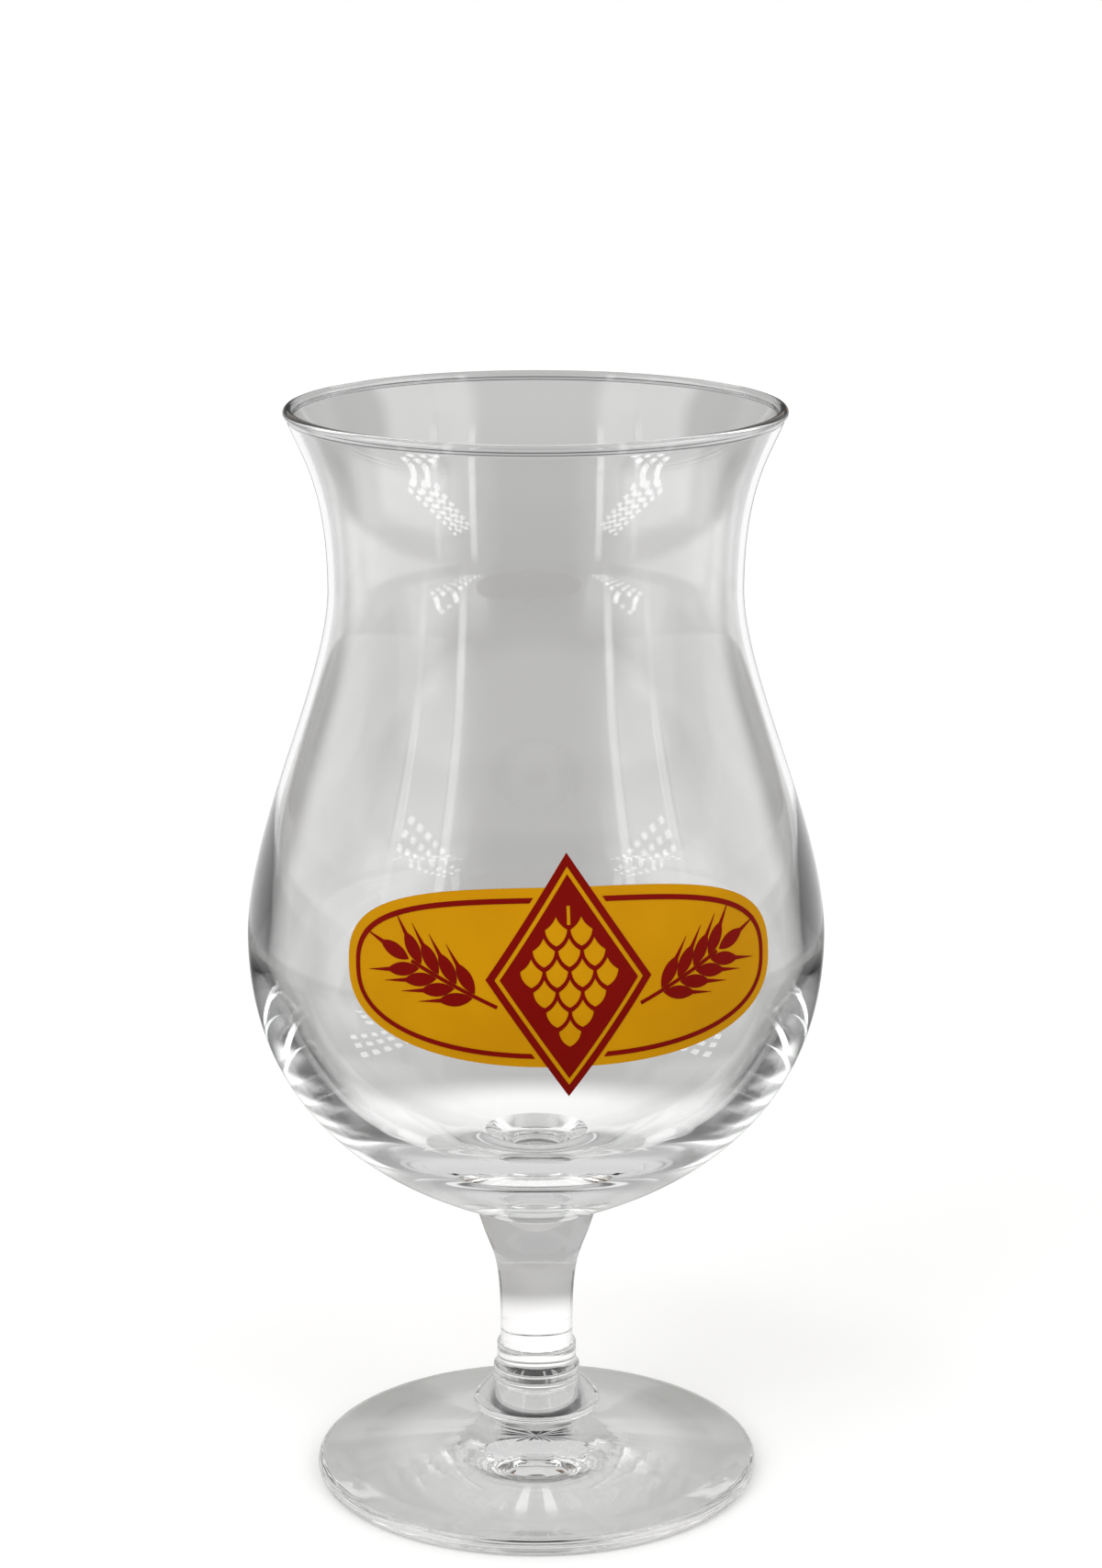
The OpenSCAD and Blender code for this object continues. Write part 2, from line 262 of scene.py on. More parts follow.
bowlGlass = clearGlass("bowlGlass", (0.99, 0.99, 0.99), (0.42, 0.47, 0.43), 0.06, 38,
                       thinner=(82, 112, 0.25))
stemGlass = clearGlass("stemGlass", (0.985, 0.985, 0.982), (0.2, 0.22, 0.2), 0.06, 90)
footGlass = clearGlass("footGlass", (0.985, 0.985, 0.977), (0.46, 0.51, 0.4), 0.03, 40, 0.06)
seam = fusedSeam()
yellowEnamel = firedEnamel("yellowEnamel", (0.54, 0.252, 0.001), (0.49, 0.22, 0.001), 90)
redEnamel = firedEnamel("redEnamel", (0.185, 0.003, 0.001), (0.155, 0.002, 0.0008), 120)
print("materials mixed")


# Foot, on its flat ring, hollowed underneath and rising as a shallow cone

foot = {"radius": 33.75, "edgeHeight": 2.6, "rise": 6.0, "neckRadius": 7.2, "restWidth": 4.0,
        "hollow": 1.5, "cone": (0.78, 0.56), "neck": (0.16, 0.34),
        "hollowSteps": 16, "edgeSteps": 24, "coneSteps": 40, "steps": 240, "crease": 40}
seamGap = 0.005  # half of the hair-line slit left at each weld


def makeFoot():
    edge = foot["edgeHeight"] / 2
    restOuter = foot["radius"] - edge
    restInner = restOuter - foot["restWidth"]
    top = foot["edgeHeight"] + foot["rise"]
    run = restOuter - foot["neckRadius"]
    count = foot["hollowSteps"]
    hollow = [Vector((restInner * i / count, foot["hollow"] * (1 - (i / count) ** 2)))
              for i in range(count + 1)]
    cone = [(restOuter, foot["edgeHeight"]),
            (restOuter - foot["cone"][0] * run, foot["edgeHeight"] + foot["cone"][1] * foot["rise"]),
            (foot["neckRadius"] + foot["neck"][0] * run, top - foot["neck"][1] * foot["rise"]),
            (foot["neckRadius"], top - seamGap)]
    outline = hollow + roundedCorner((restOuter, edge), edge, -90, 90, foot["edgeSteps"])
    outline += along(cone, foot["coneSteps"])[1:]
    piece = turnOnLathe("footGlass", outline + [Vector((0, top - seamGap))], foot["steps"])
    smoothBy(piece, foot["crease"])
    paint(piece, footGlass, seam)
    fuseAt(piece, top - seamGap)
    place(piece, "clear_glass", "foot")


makeFoot()
print("foot turned")


# Knop, a pressed button with a conical shoulder and a sharp lower edge

knop = {"radius": 9.75, "edgeRadius": 0.9, "bottom": 8.6, "height": 7.0, "edgeShare": 0.34,
        "edgeArc": (-65, 48, 14), "neckRadius": 6.45, "neckHeight": 0.8, "fillet": 0.35,
        "filletPull": 0.4, "underSteps": 6, "shoulderSteps": 8, "steps": 200, "crease": 38}


def makeKnop():
    low, high = knop["bottom"] + seamGap, knop["bottom"] + knop["height"] - seamGap
    edge = (knop["radius"] - knop["edgeRadius"], knop["bottom"] + knop["edgeShare"] * knop["height"])
    button = roundedCorner(edge, knop["edgeRadius"], *knop["edgeArc"])
    neckLow = Vector((knop["neckRadius"], high - knop["neckHeight"]))
    shoulder = button[-1]
    slope = (shoulder - neckLow).normalized()
    fillet, pull = knop["fillet"], knop["filletPull"]
    turn = [neckLow + slope * fillet, neckLow + slope * fillet * pull,
            neckLow + Vector((0, fillet * pull)), neckLow + Vector((0, fillet))]
    under = button[0]
    start = Vector((foot["neckRadius"], low))
    few, more = knop["underSteps"], knop["shoulderSteps"]
    belly = [start + (under - start) * i / few for i in range(1, few)]
    cone = [shoulder + (turn[0] - shoulder) * i / more for i in range(1, more)]
    outline = [Vector((0, low)), start] + belly + button + cone + along(turn, few)
    outline += [Vector((knop["neckRadius"], high)), Vector((0, high))]
    piece = turnOnLathe("knopGlass", outline, knop["steps"])
    smoothBy(piece, knop["crease"])
    paint(piece, stemGlass, seam)
    fuseAt(piece, low, high)
    place(piece, "clear_glass", "knop")


makeKnop()
print("knop turned")


# Collar, the band and the weld ring between stem and knop

collar = {"bottom": 15.6, "ringRadius": 6.6, "ringHeight": 1.3, "bandRadius": 6.05,
          "bandHeight": 3.6, "edge": 0.35, "edgeSteps": 8, "bandSteps": 6, "steps": 200, "crease": 38}


def makeCollar():
    low = collar["bottom"] + seamGap
    bandLow = collar["bottom"] + collar["ringHeight"]
    high = bandLow + collar["bandHeight"] - seamGap
    ring, band, edge = collar["ringRadius"], collar["bandRadius"], collar["edge"]
    count, few = collar["edgeSteps"], collar["bandSteps"]
    outline = [Vector((0, low))]
    outline += roundedCorner((ring - edge, low + edge), edge, -90, 0, count)
    outline += roundedCorner((ring - edge, bandLow - edge), edge, 0, 90, count)
    outline += [Vector((band, bandLow))]
    outline += [Vector((band, bandLow + (high - edge - bandLow) * i / few)) for i in range(1, few)]
    outline += roundedCorner((band - edge, high - edge), edge, 0, 90, count) + [Vector((0, high))]
    piece = turnOnLathe("collarGlass", outline, collar["steps"])
    smoothBy(piece, collar["crease"])
    paint(piece, stemGlass, seam)
    fuseAt(piece, low, high)
    place(piece, "clear_glass", "collar")


makeCollar()
print("collar turned")


# Stem, drawn out of the bowl and flaring up into it

stem = {"radius": 5.5, "bottom": 20.5, "height": 22.3, "topRadius": 9.2, "flareAngle": 75,
        "lowShare": 0.75, "topShare": 0.44, "sideSteps": 48, "steps": 200, "crease": 38}


def makeStem():
    low, high = stem["bottom"] + seamGap, stem["bottom"] + stem["height"] - seamGap
    lean, flare = math.radians(stem["flareAngle"]), stem["topShare"] * stem["height"]
    side = [(stem["radius"], low), (stem["radius"], low + stem["lowShare"] * stem["height"]),
            (stem["topRadius"] - flare * math.cos(lean), high - flare * math.sin(lean)),
            (stem["topRadius"], high)]
    outline = [Vector((0, low))] + along(side, stem["sideSteps"]) + [Vector((0, high))]
    piece = turnOnLathe("stemGlass", outline, stem["steps"])
    smoothBy(piece, stem["crease"])
    paint(piece, stemGlass, seam)
    fuseAt(piece, low, high)
    place(piece, "clear_glass", "stem")


makeStem()
print("stem drawn")


# Bowl: heavy base, thick belly, thin waist, flared lip with its fire-polished bead

bowl = {"weldRadius": 9.2, "weldHeight": 42.8, "bellyRadius": 43.0, "lowHeight": 43.0,
        "shoulderHeight": 52.7, "waistRadius": 30.4, "mouthHeight": 26.5, "rimRadius": 36.55,
        "lipAngle": 20, "baseAngle": 26, "baseThick": 8.7, "bellyThick": 2.45, "waistThick": 0.95,
        "lipThick": 1.1, "beadRadius": 0.75, "thinning": 0.42, "lowPull": (0.29, 0.67),
        "shoulderPull": (0.306, 0.26), "mouthPull": (0.59, 0.2), "innerPull": (0.87, 0.23),
        "wallSteps": 44, "mouthSteps": 30, "beadSteps": 20, "steps": 256, "crease": 60}
bellyHeight = bowl["weldHeight"] + bowl["lowHeight"]
waistHeight = bellyHeight + bowl["shoulderHeight"]
rimHeight = waistHeight + bowl["mouthHeight"]
lipOut = Vector((math.cos(math.radians(bowl["lipAngle"])), -math.sin(math.radians(bowl["lipAngle"]))))
lipUp = Vector((-lipOut.y, lipOut.x))
beadCentre = Vector((bowl["rimRadius"] - bowl["beadRadius"], rimHeight - bowl["beadRadius"]))
beadDrop = math.sqrt(bowl["beadRadius"] ** 2 - bowl["lipThick"] ** 2 / 4)
lipEnd = beadCentre + lipOut * bowl["lipThick"] / 2 - lipUp * beadDrop


def lowCurve():
    rise, lean = bowl["lowPull"][0] * bowl["lowHeight"], math.radians(bowl["baseAngle"])
    r, z = bowl["weldRadius"], bowl["weldHeight"] + seamGap
    return [(r, z), (r + rise * math.cos(lean), z + rise * math.sin(lean)),
            (bowl["bellyRadius"], bellyHeight - bowl["lowPull"][1] * bowl["lowHeight"]),
            (bowl["bellyRadius"], bellyHeight)]


def shoulderCurve():
    return [(bowl["bellyRadius"], bellyHeight),
            (bowl["bellyRadius"], bellyHeight + bowl["shoulderPull"][0] * bowl["shoulderHeight"]),
            (bowl["waistRadius"], waistHeight - bowl["shoulderPull"][1] * bowl["shoulderHeight"]),
            (bowl["waistRadius"], waistHeight)]


def mouthCurve():
    return [(bowl["waistRadius"], waistHeight),
            (bowl["waistRadius"], waistHeight + bowl["mouthPull"][0] * bowl["mouthHeight"]),
            lipEnd - lipUp * bowl["mouthPull"][1] * bowl["mouthHeight"], lipEnd]


def innerLowCurve():
    floorHeight = bowl["weldHeight"] + bowl["baseThick"]
    inner = bowl["bellyRadius"] - bowl["bellyThick"]
    across, up = bowl["innerPull"]
    return [(0, floorHeight), (across * inner, floorHeight),
            (inner, bellyHeight - up * (bellyHeight - floorHeight)), (inner, bellyHeight)]


def wallAt(u):
    thin = min(u / bowl["thinning"], 1)
    more = bowl["bellyThick"] - bowl["waistThick"]
    return bowl["waistThick"] + more * (1 + math.cos(math.pi * thin)) / 2


def makeBowl():
    low, shoulder, mouth, innerLow = lowCurve(), shoulderCurve(), mouthCurve(), innerLowCurve()
    many, more, few = bowl["wallSteps"], bowl["mouthSteps"], bowl["beadSteps"]
    shoulderIn = [curveAt(shoulder, i / many) - wallAt(i / many) * outwardAt(shoulder, i / many)
                  for i in range(many + 1)]
    mouthIn = []
    for i in range(more + 1):
        wall = bowl["waistThick"] + (bowl["lipThick"] - bowl["waistThick"]) * i / more
        mouthIn.append(curveAt(mouth, i / more) - wall * outwardAt(mouth, i / more))
    half = math.degrees(math.acos(bowl["lipThick"] / 2 / bowl["beadRadius"]))
    bead = []
    for i in range(1, few):
        turn = math.radians(-half + (180 + 2 * half) * i / few)
        bead.append(beadCentre + bowl["beadRadius"] * (math.cos(turn) * lipOut + math.sin(turn) * lipUp))
    outline = [Vector((0, bowl["weldHeight"] + seamGap))]
    outline += along(low, many) + along(shoulder, many)[1:] + along(mouth, more)[1:] + bead
    outline += mouthIn[::-1] + shoulderIn[::-1][1:] + along(innerLow, many)[::-1][1:]
    piece = turnOnLathe("bowlGlass", outline, bowl["steps"])
    smoothBy(piece, bowl["crease"])
    paint(piece, bowlGlass, seam)
    fuseAt(piece, bowl["weldHeight"] + seamGap)
    place(piece, "clear_glass", "bowl")


makeBowl()
print("bowl blown")


# Print, a yellow ground with red over it, cut from thin turned skins by flat drawings
# that are pushed through the front of the bowl

artwork = {"middle": 91.2, "groundThick": 0.12, "topThick": 0.08, "sink": 0.02, "facet": 0.52,
           "halfAngle": 44.0, "halfHeight": 12.6, "roundness": 2.5, "keyInset": 1.3, "keyWidth": 0.7,
           "lowShares": (0.72, 0.28, 26), "shoulderShares": (0.66, 52), "spread": 104, "barLength": 50,
           "ovalSteps": 120, "crease": 35}
lozenge = {"halfWidth": 11.6, "halfHeight": 17.2, "lineInset": 1.0, "lineWidth": 0.6,
           "scaleWidth": 3.1, "scaleHeight": 4.8, "gap": 0.45, "stalk": 2.6, "rows": (2, 3, 4, 3, 2, 1),
           "scaleSteps": 18, "spread": 36}
ear = {"angle": 25.0, "lean": 66.0, "stalk": 3.6, "stalkWidth": 0.5, "rows": 4, "pitch": 2.9, "gap": 0.1,
       "grainWidth": 1.9, "grainHeight": 5.0, "grainLean": 32.0, "bristle": 3.0, "bristleWidth": 0.5,
       "grainSteps": 14, "stalkShare": 0.3, "spread": 40}


def skin(name, inner, outer, spread, turn=0.0):
    low, shoulder = lowCurve(), shoulderCurve()
    first, part, few = artwork["lowShares"]
    end, more = artwork["shoulderShares"]
    shares = [(low, first + part * i / few) for i in range(few + 1)]
    shares += [(shoulder, end * i / more) for i in range(1, more + 1)]
    inside = [curveAt(c, u) + inner * outwardAt(c, u) for c, u in shares]
    outside = [curveAt(c, u) + outer * outwardAt(c, u) for c, u in shares]
    outline = inside + outside[::-1] + [inside[0]]
    piece = turnOnLathe(name, outline, round(spread / artwork["facet"]), spread)
    piece.rotation_euler.z = math.radians(turn)
    bpy.ops.object.transform_apply(location=False, rotation=True, scale=False)
    pickOnly(piece)
    bpy.ops.object.mode_set(mode="EDIT")
    bpy.ops.mesh.select_all(action="DESELECT")
    bpy.ops.mesh.select_non_manifold()
    bpy.ops.mesh.edge_face_add()
    bpy.ops.mesh.select_all(action="SELECT")
    bpy.ops.mesh.normals_make_consistent(inside=False)
    bpy.ops.object.mode_set(mode="OBJECT")
    return piece


def drawing(name, corners):
    # a flat sheet standing in the XZ plane, one corner to each vertex of a circle
    pickOnly()
    bpy.ops.mesh.primitive_circle_add(vertices=len(corners), radius=10 * mm, fill_type="NGON")
    sheet = bpy.context.object
    sheet.name = sheet.data.name = name
    for vertex, (x, z) in zip(sheet.data.vertices, corners):
        vertex.co = Vector((x, 0, z)) * mm
    return sheet


def pushThrough(sheet, turn=0.0, height=artwork["middle"]):
    # the drawing becomes a bar from the axis out through the front of the bowl
    pickOnly(sheet)
    bpy.ops.object.mode_set(mode="EDIT")
    bpy.ops.mesh.select_all(action="SELECT")
    reach = Vector((0, -artwork["barLength"] * mm, 0))
    bpy.ops.mesh.extrude_region_move(TRANSFORM_OT_translate={"value": reach})
    bpy.ops.mesh.select_all(action="SELECT")
    bpy.ops.mesh.normals_make_consistent(inside=False)
    bpy.ops.object.mode_set(mode="OBJECT")
    sheet.rotation_euler.z = math.radians(turn)
    sheet.location.z = height * mm
    bpy.ops.object.transform_apply(location=True, rotation=True, scale=True)
    return sheet


def cut(piece, tool, operation):
    pickOnly(piece)
    step = piece.modifiers.new("cut", "BOOLEAN")
    step.operation = operation
    step.object = tool
    step.solver = "EXACT"
    bpy.ops.object.modifier_apply(modifier=step.name)
    bpy.data.objects.remove(tool)


def ovalCorners(inset):
    # half of the width is an angle round the belly
    wide = artwork["halfAngle"] - math.degrees(inset / bowl["bellyRadius"])
    tall = artwork["halfHeight"] - inset
    power = 2 / artwork["roundness"]
    corners = []
    for i in range(artwork["ovalSteps"]):
        turn = 2 * math.pi * i / artwork["ovalSteps"]
        c, s = math.cos(turn), math.sin(turn)
        across = wide * math.copysign(abs(c) ** power, c)
        corners.append((bowl["bellyRadius"] * math.sin(math.radians(across)),
                        tall * math.copysign(abs(s) ** power, s)))
    return corners


def lozengeCorners(inset=0.0):
    side = math.hypot(lozenge["halfWidth"], lozenge["halfHeight"])
    wide = lozenge["halfWidth"] - inset * side / lozenge["halfHeight"]
    tall = lozenge["halfHeight"] - inset * side / lozenge["halfWidth"]
    return [(wide, 0), (0, tall), (-wide, 0), (0, -tall)]


def leafHalf(width, height, y):
    # half width of a leaf between two arcs, at a distance from its middle
    if abs(y) >= height / 2:
        return 0.0
    radius = (width * width + height * height) / (4 * width)
    return width / 2 - radius + math.sqrt(radius * radius - y * y)


def mirrored(halfAt, low, high, tip, steps):
    # an outline that is the same on both sides of its middle, from its lowest point to its tip
    heights = [low + (high - low) * i / steps for i in range(1, steps)]
    right = [(halfAt(y), y) for y in heights]
    return [(0, low)] + right + [(0, tip)] + [(-x, y) for x, y in right[::-1]]


def scaleCorners(middle):
    # a scale of the hop cone: a leaf with room cut into its top for its two neighbours in the row above
    width, height, gap = lozenge["scaleWidth"], lozenge["scaleHeight"], lozenge["gap"]
    roomWidth = width + 2 * gap
    roomHeight = height * roomWidth / width
    aside, above = (width + gap) / 2, height / 2 + gap
    radius = (roomWidth ** 2 + roomHeight ** 2) / (4 * roomWidth)
    top = above - math.sqrt(radius ** 2 - (aside - roomWidth / 2 + radius) ** 2)
    corners = mirrored(lambda y: min(leafHalf(width, height, y),
                                     aside - leafHalf(roomWidth, roomHeight, y - above)),
                       -height / 2, top, top, lozenge["scaleSteps"])
    return [(middle[0] + x, middle[1] + y) for x, y in corners]


def grainCorners(seat, lean):
    # a grain of barley, a leaf drawn out into a long bristle
    height, bristle = ear["grainHeight"], ear["bristle"]

    def halfAt(y):
        fading = 1 - (y - height / 2) / (height / 2 + bristle)
        return max(leafHalf(ear["grainWidth"], height, y - height / 2),
                   ear["bristleWidth"] / 2 * fading if y > height / 2 else 0)

    corners = mirrored(halfAt, 0, height, height + bristle, ear["grainSteps"])
    c, s = math.cos(math.radians(lean)), math.sin(math.radians(lean))
    return [(seat[0] + x * c - y * s, seat[1] + x * s + y * c) for x, y in corners]


def barCorners(width, low, high):
    return [(-width / 2, low), (width / 2, low), (width / 2, high), (-width / 2, high)]


def gather(sheets):
    pickOnly(*sheets)
    if len(sheets) > 1:
        bpy.ops.object.join()
    return bpy.context.object


def finishPrint(piece, material, node):
    pickOnly(piece)
    bpy.ops.object.mode_set(mode="EDIT")
    bpy.ops.mesh.select_all(action="SELECT")
    bpy.ops.mesh.remove_doubles(threshold=weldDistance)
    bpy.ops.mesh.normals_make_consistent(inside=False)
    bpy.ops.object.mode_set(mode="OBJECT")
    smoothBy(piece, artwork["crease"])
    paint(piece, material)
    place(piece, "yellow_enamel" if node == "print_ground" else "red_enamel", node)


def makeGround():
    piece = skin("groundEnamel", -artwork["sink"], artwork["groundThick"], artwork["spread"])
    tool = pushThrough(drawing("groundTool", ovalCorners(0)))
    cut(tool, pushThrough(drawing("lozengeTool", lozengeCorners())), "UNION")
    cut(piece, tool, "INTERSECT")
    finishPrint(piece, yellowEnamel, "print_ground")


def topSkin(name, spread, turn=0.0):
    low = artwork["groundThick"] - artwork["sink"] / 2
    return skin(name, low, artwork["groundThick"] + artwork["topThick"], spread, turn)


def makeKeyline():
    piece = topSkin("keylineEnamel", artwork["spread"])
    cut(piece, pushThrough(drawing("outerTool", ovalCorners(artwork["keyInset"]))), "INTERSECT")
    inner = ovalCorners(artwork["keyInset"] + artwork["keyWidth"])
    cut(piece, pushThrough(drawing("innerTool", inner)), "DIFFERENCE")
    cut(piece, pushThrough(drawing("clearTool", lozengeCorners(-artwork["keyWidth"]))), "DIFFERENCE")
    finishPrint(piece, redEnamel, "print_keyline")


def makeLozenge():
    sheet = drawing("lozengeTool", lozengeCorners())
    pickOnly(sheet)
    bpy.ops.object.mode_set(mode="EDIT")
    bpy.ops.mesh.select_all(action="SELECT")
    bpy.ops.mesh.inset(thickness=lozenge["lineInset"] * mm)
    bpy.ops.mesh.inset(thickness=lozenge["lineWidth"] * mm)
    bpy.ops.mesh.select_mode(type="FACE")
    bpy.ops.mesh.select_all(action="DESELECT")
    bpy.ops.object.mode_set(mode="OBJECT")
    for index in ringBetween(sheet):  # the thin line that is left out
        sheet.data.polygons[index].select = True
    bpy.ops.object.mode_set(mode="EDIT")
    bpy.ops.mesh.delete(type="FACE")
    bpy.ops.mesh.select_mode(type="VERT")
    bpy.ops.object.mode_set(mode="OBJECT")
    piece = topSkin("lozengeEnamel", lozenge["spread"])
    cut(piece, pushThrough(sheet), "INTERSECT")
    pitch = lozenge["scaleHeight"] / 2 + lozenge["gap"]
    top = pitch * (len(lozenge["rows"]) - 1) / 2
    sheets = []
    for row, count in enumerate(lozenge["rows"]):
        for i in range(count):
            middle = ((i - (count - 1) / 2) * (lozenge["scaleWidth"] + lozenge["gap"]), top - row * pitch)
            sheets.append(drawing("scale", scaleCorners(middle)))
    stalkLow = top + lozenge["gap"]
    sheets.append(drawing("stalk", barCorners(ear["stalkWidth"], stalkLow, stalkLow + lozenge["stalk"])))
    cut(piece, pushThrough(gather(sheets)), "DIFFERENCE")
    finishPrint(piece, redEnamel, "print_lozenge")


def ringBetween(sheet):
    # faces whose four corners lie on the first and the second inset outline
    reach = [round(abs(v.co.x) / lozenge["halfWidth"] / mm + abs(v.co.z) / lozenge["halfHeight"] / mm, 3)
             for v in sheet.data.vertices]
    wanted = set(sorted(set(reach))[-3:-1])
    return [f.index for f in sheet.data.polygons if {reach[v] for v in f.vertices} == wanted]


def makeEar(side, node):
    grains = ear["pitch"] * (ear["rows"] - 1)
    stalkTop = ear["stalk"] + grains + ear["stalkShare"] * ear["grainHeight"]
    low = -(stalkTop + ear["grainHeight"]) / 2
    sheets = [drawing("stalk", barCorners(ear["stalkWidth"], low, low + stalkTop))]
    aside = ear["stalkWidth"] / 2 + ear["gap"]
    for i in range(ear["rows"]):
        for sign in (-1, 1):
            seat = (sign * aside, low + ear["stalk"] + i * ear["pitch"])
            sheets.append(drawing("grain", grainCorners(seat, -sign * ear["grainLean"])))
    sheets.append(drawing("grain", grainCorners((0, low + stalkTop + lozenge["gap"]), 0)))
    sheet = gather(sheets)
    sheet.rotation_euler.y = math.radians(side * ear["lean"])
    pickOnly(sheet)
    bpy.ops.object.transform_apply(location=False, rotation=True, scale=False)
    turn = side * ear["angle"]
    piece = topSkin("earEnamelRight" if side > 0 else "earEnamelLeft", ear["spread"], turn)
    cut(piece, pushThrough(sheet, turn), "INTERSECT")
    finishPrint(piece, redEnamel, node)


makeGround()
print("ground printed")
makeKeyline()
makeLozenge()
print("lozenge printed")
makeEar(-1, "print_ear_left")
makeEar(1, "print_ear_right")
print("ears printed")


# Studio: a pale sweep, two soft lamps, and cards that only the glass sees, in metres
# A card runs between two angles, measured round the glass from the camera's side, and between two heights,
# and a mat between two distances; the strength follows, and for a card its distance

# the floor's colour fades to a painted shade away from the glass, and rays through the glass see it glow with
# painted light, most in the shadow under the foot
studio = {"floorSize": 6.0, "floorDrop": 0.00002, "floorNear": 0.88, "floorFarShade": 0.53, "whiteLevel": 1.06,
          "nearReach": 0.064, "farReach": 0.094, "footReach": (0.036, 0.012), "beyondReach": (0.45, 1.2),
          "underFootGlow": 0.4, "nearLift": 0.28, "farLift": 0.12,
          "roughness": 0.9, "roomTint": (1, 0.99, 0.98, 1), "ambient": 0.8,
          "skyReach": (0.1, 0.9), "horizon": 0.6, "overhead": 0.9}
upright = {"openFront": (-30, 30, 0.0, 0.24, 0.25, 0.16), "flagBack": (164, 196, 0.05, 0.17, 0.0, 0.34),
           "flagFar": (152, 208, 0.2, 0.52, 0.12, 1.8), "flag": (38, 132, 0.44, 1.5, 0.1, 1.7),
           "aloft": (30, 96, 0.34, 1.7, 3.4, 1.6),
           "walls": ((36, 41, 0.0, 0.42, 2.8, 0.34), (59, 64, 0.0, 0.42, 2.4, 0.34),
                     (40, 130, -0.2, 0.62, 2.1, 1.8))}
lying = {"front": (-32, 32, 0.085, 0.42, 0.25), "knopShadeDisc": (0, 360, 0.001, 0.0105, 0.0),
         "beside": (98, 124, 0.05, 0.24, 0.1),
         "mats": ((32, 50, 0.1, 0.26, 1.4), (44, 96, 0.1, 0.3, 1.5), (45, 100, 0.062, 0.1, 1.6),
                  (112, 160, 0.13, 0.3, 0.1), (40, 130, 0.35, 1.9, 1.7), (122, 172, 0.3, 1.6, 1.0)),
         "under": ((62, 172, 0.006, 0.025, 0.8), (3, 9, 0.009, 0.025, 0.95), (12, 20, 0.011, 0.024, 0.7)),
         "height": 0.002, "layer": 0.0002, "besideHeight": 0.0016, "underHeight": 0.0003}
soft = {"card": (0.2, 0.2), "matEnds": 0.2, "closedRing": 0.0001, "matWidth": 0.05, "matMost": 0.4,
        "dots": (0.001, 0.001)}  # soft edges, as shares of a card's length and width
cardGrid = {"stepAngle": 4, "rows": 4}
dots = {"across": 0.155, "forward": 0.12, "size": (0.05, 0.14), "cells": (3, 8), "frame": 0.24,
        "height": 0.004, "strength": 6.0}
lamps = {"keySoftbox": (-38, 35, 0.9, (0.5, 0.7), 3.0), "fillSoftbox": (42, 30, 1.0, (0.5, 0.7), 2.2)}
lampAim = 0.08
camera = {"place": (-60.1, -547.1, 248.2), "pitch": 14.24, "azimuth": 6.5, "lens": 88.03, "sensor": 36,
          "nearest": 0.01, "bounces": 24, "clearBounces": 40}


def makeFloor():
    pickOnly()
    bpy.ops.mesh.primitive_plane_add(size=studio["floorSize"], location=(0, 0, -studio["floorDrop"]))
    floor = bpy.context.object
    floor.name = "floor"
    material, nodes, links, body = newMaterial("paleSweep")
    body.inputs["Roughness"].default_value = studio["roughness"]
    body.inputs["Specular IOR Level"].default_value = 0.0
    near, far = studio["nearReach"], studio["farReach"]
    where = nodes.new("ShaderNodeTexCoord")
    length = nodes.new("ShaderNodeVectorMath")
    length.operation = "LENGTH"
    path = nodes.new("ShaderNodeLightPath")
    # painted shade: the floor's colour darkens away from the glass, standing in for light that falls off
    # across a sweep
    fade = addRange(nodes, near, far, studio["floorNear"], studio["floorFarShade"])
    # painted light: what looks through glass finds the floor glowing lighter near the glass and far off, and
    # the shadow under the foot lit up too
    footShadowGlow = addRange(nodes, *studio["footReach"], high=studio["underFootGlow"] - studio["nearLift"])
    nearby = addRange(nodes, far, near, high=studio["nearLift"])
    beyond = addRange(nodes, *studio["beyondReach"], high=studio["farLift"])
    lift = addMath(nodes, "SUBTRACT")
    lift.inputs[0].default_value = studio["whiteLevel"]
    whiter, around, lifted = (addMath(nodes, "ADD") for _ in range(3))
    seen = addMath(nodes, "MULTIPLY")
    through = addMath(nodes, "MULTIPLY_ADD")
    glow = nodes.new("ShaderNodeEmission")
    both = nodes.new("ShaderNodeAddShader")
    links.new(where.outputs["Object"], length.inputs[0])
    for ring in (fade, footShadowGlow, nearby, beyond):
        links.new(length.outputs["Value"], ring.inputs["Value"])
    links.new(nearby.outputs["Result"], around.inputs[0])
    links.new(beyond.outputs["Result"], around.inputs[1])
    links.new(footShadowGlow.outputs["Result"], lifted.inputs[0])
    links.new(around.outputs["Value"], lifted.inputs[1])
    links.new(fade.outputs["Result"], body.inputs["Base Color"])
    links.new(fade.outputs["Result"], lift.inputs[1])
    links.new(lift.outputs["Value"], whiter.inputs[0])
    links.new(beyond.outputs["Result"], whiter.inputs[1])
    links.new(whiter.outputs["Value"], seen.inputs[0])
    links.new(path.outputs["Is Camera Ray"], seen.inputs[1])
    links.new(lifted.outputs["Value"], through.inputs[0])
    links.new(path.outputs["Is Transmission Ray"], through.inputs[1])
    links.new(seen.outputs["Value"], through.inputs[2])
    links.new(through.outputs["Value"], glow.inputs["Strength"])
    links.new(body.outputs["BSDF"], both.inputs[0])
    links.new(glow.outputs["Emission"], both.inputs[1])
    links.new(both.outputs["Shader"], nodes["Material Output"].inputs["Surface"])
    paint(floor, material)


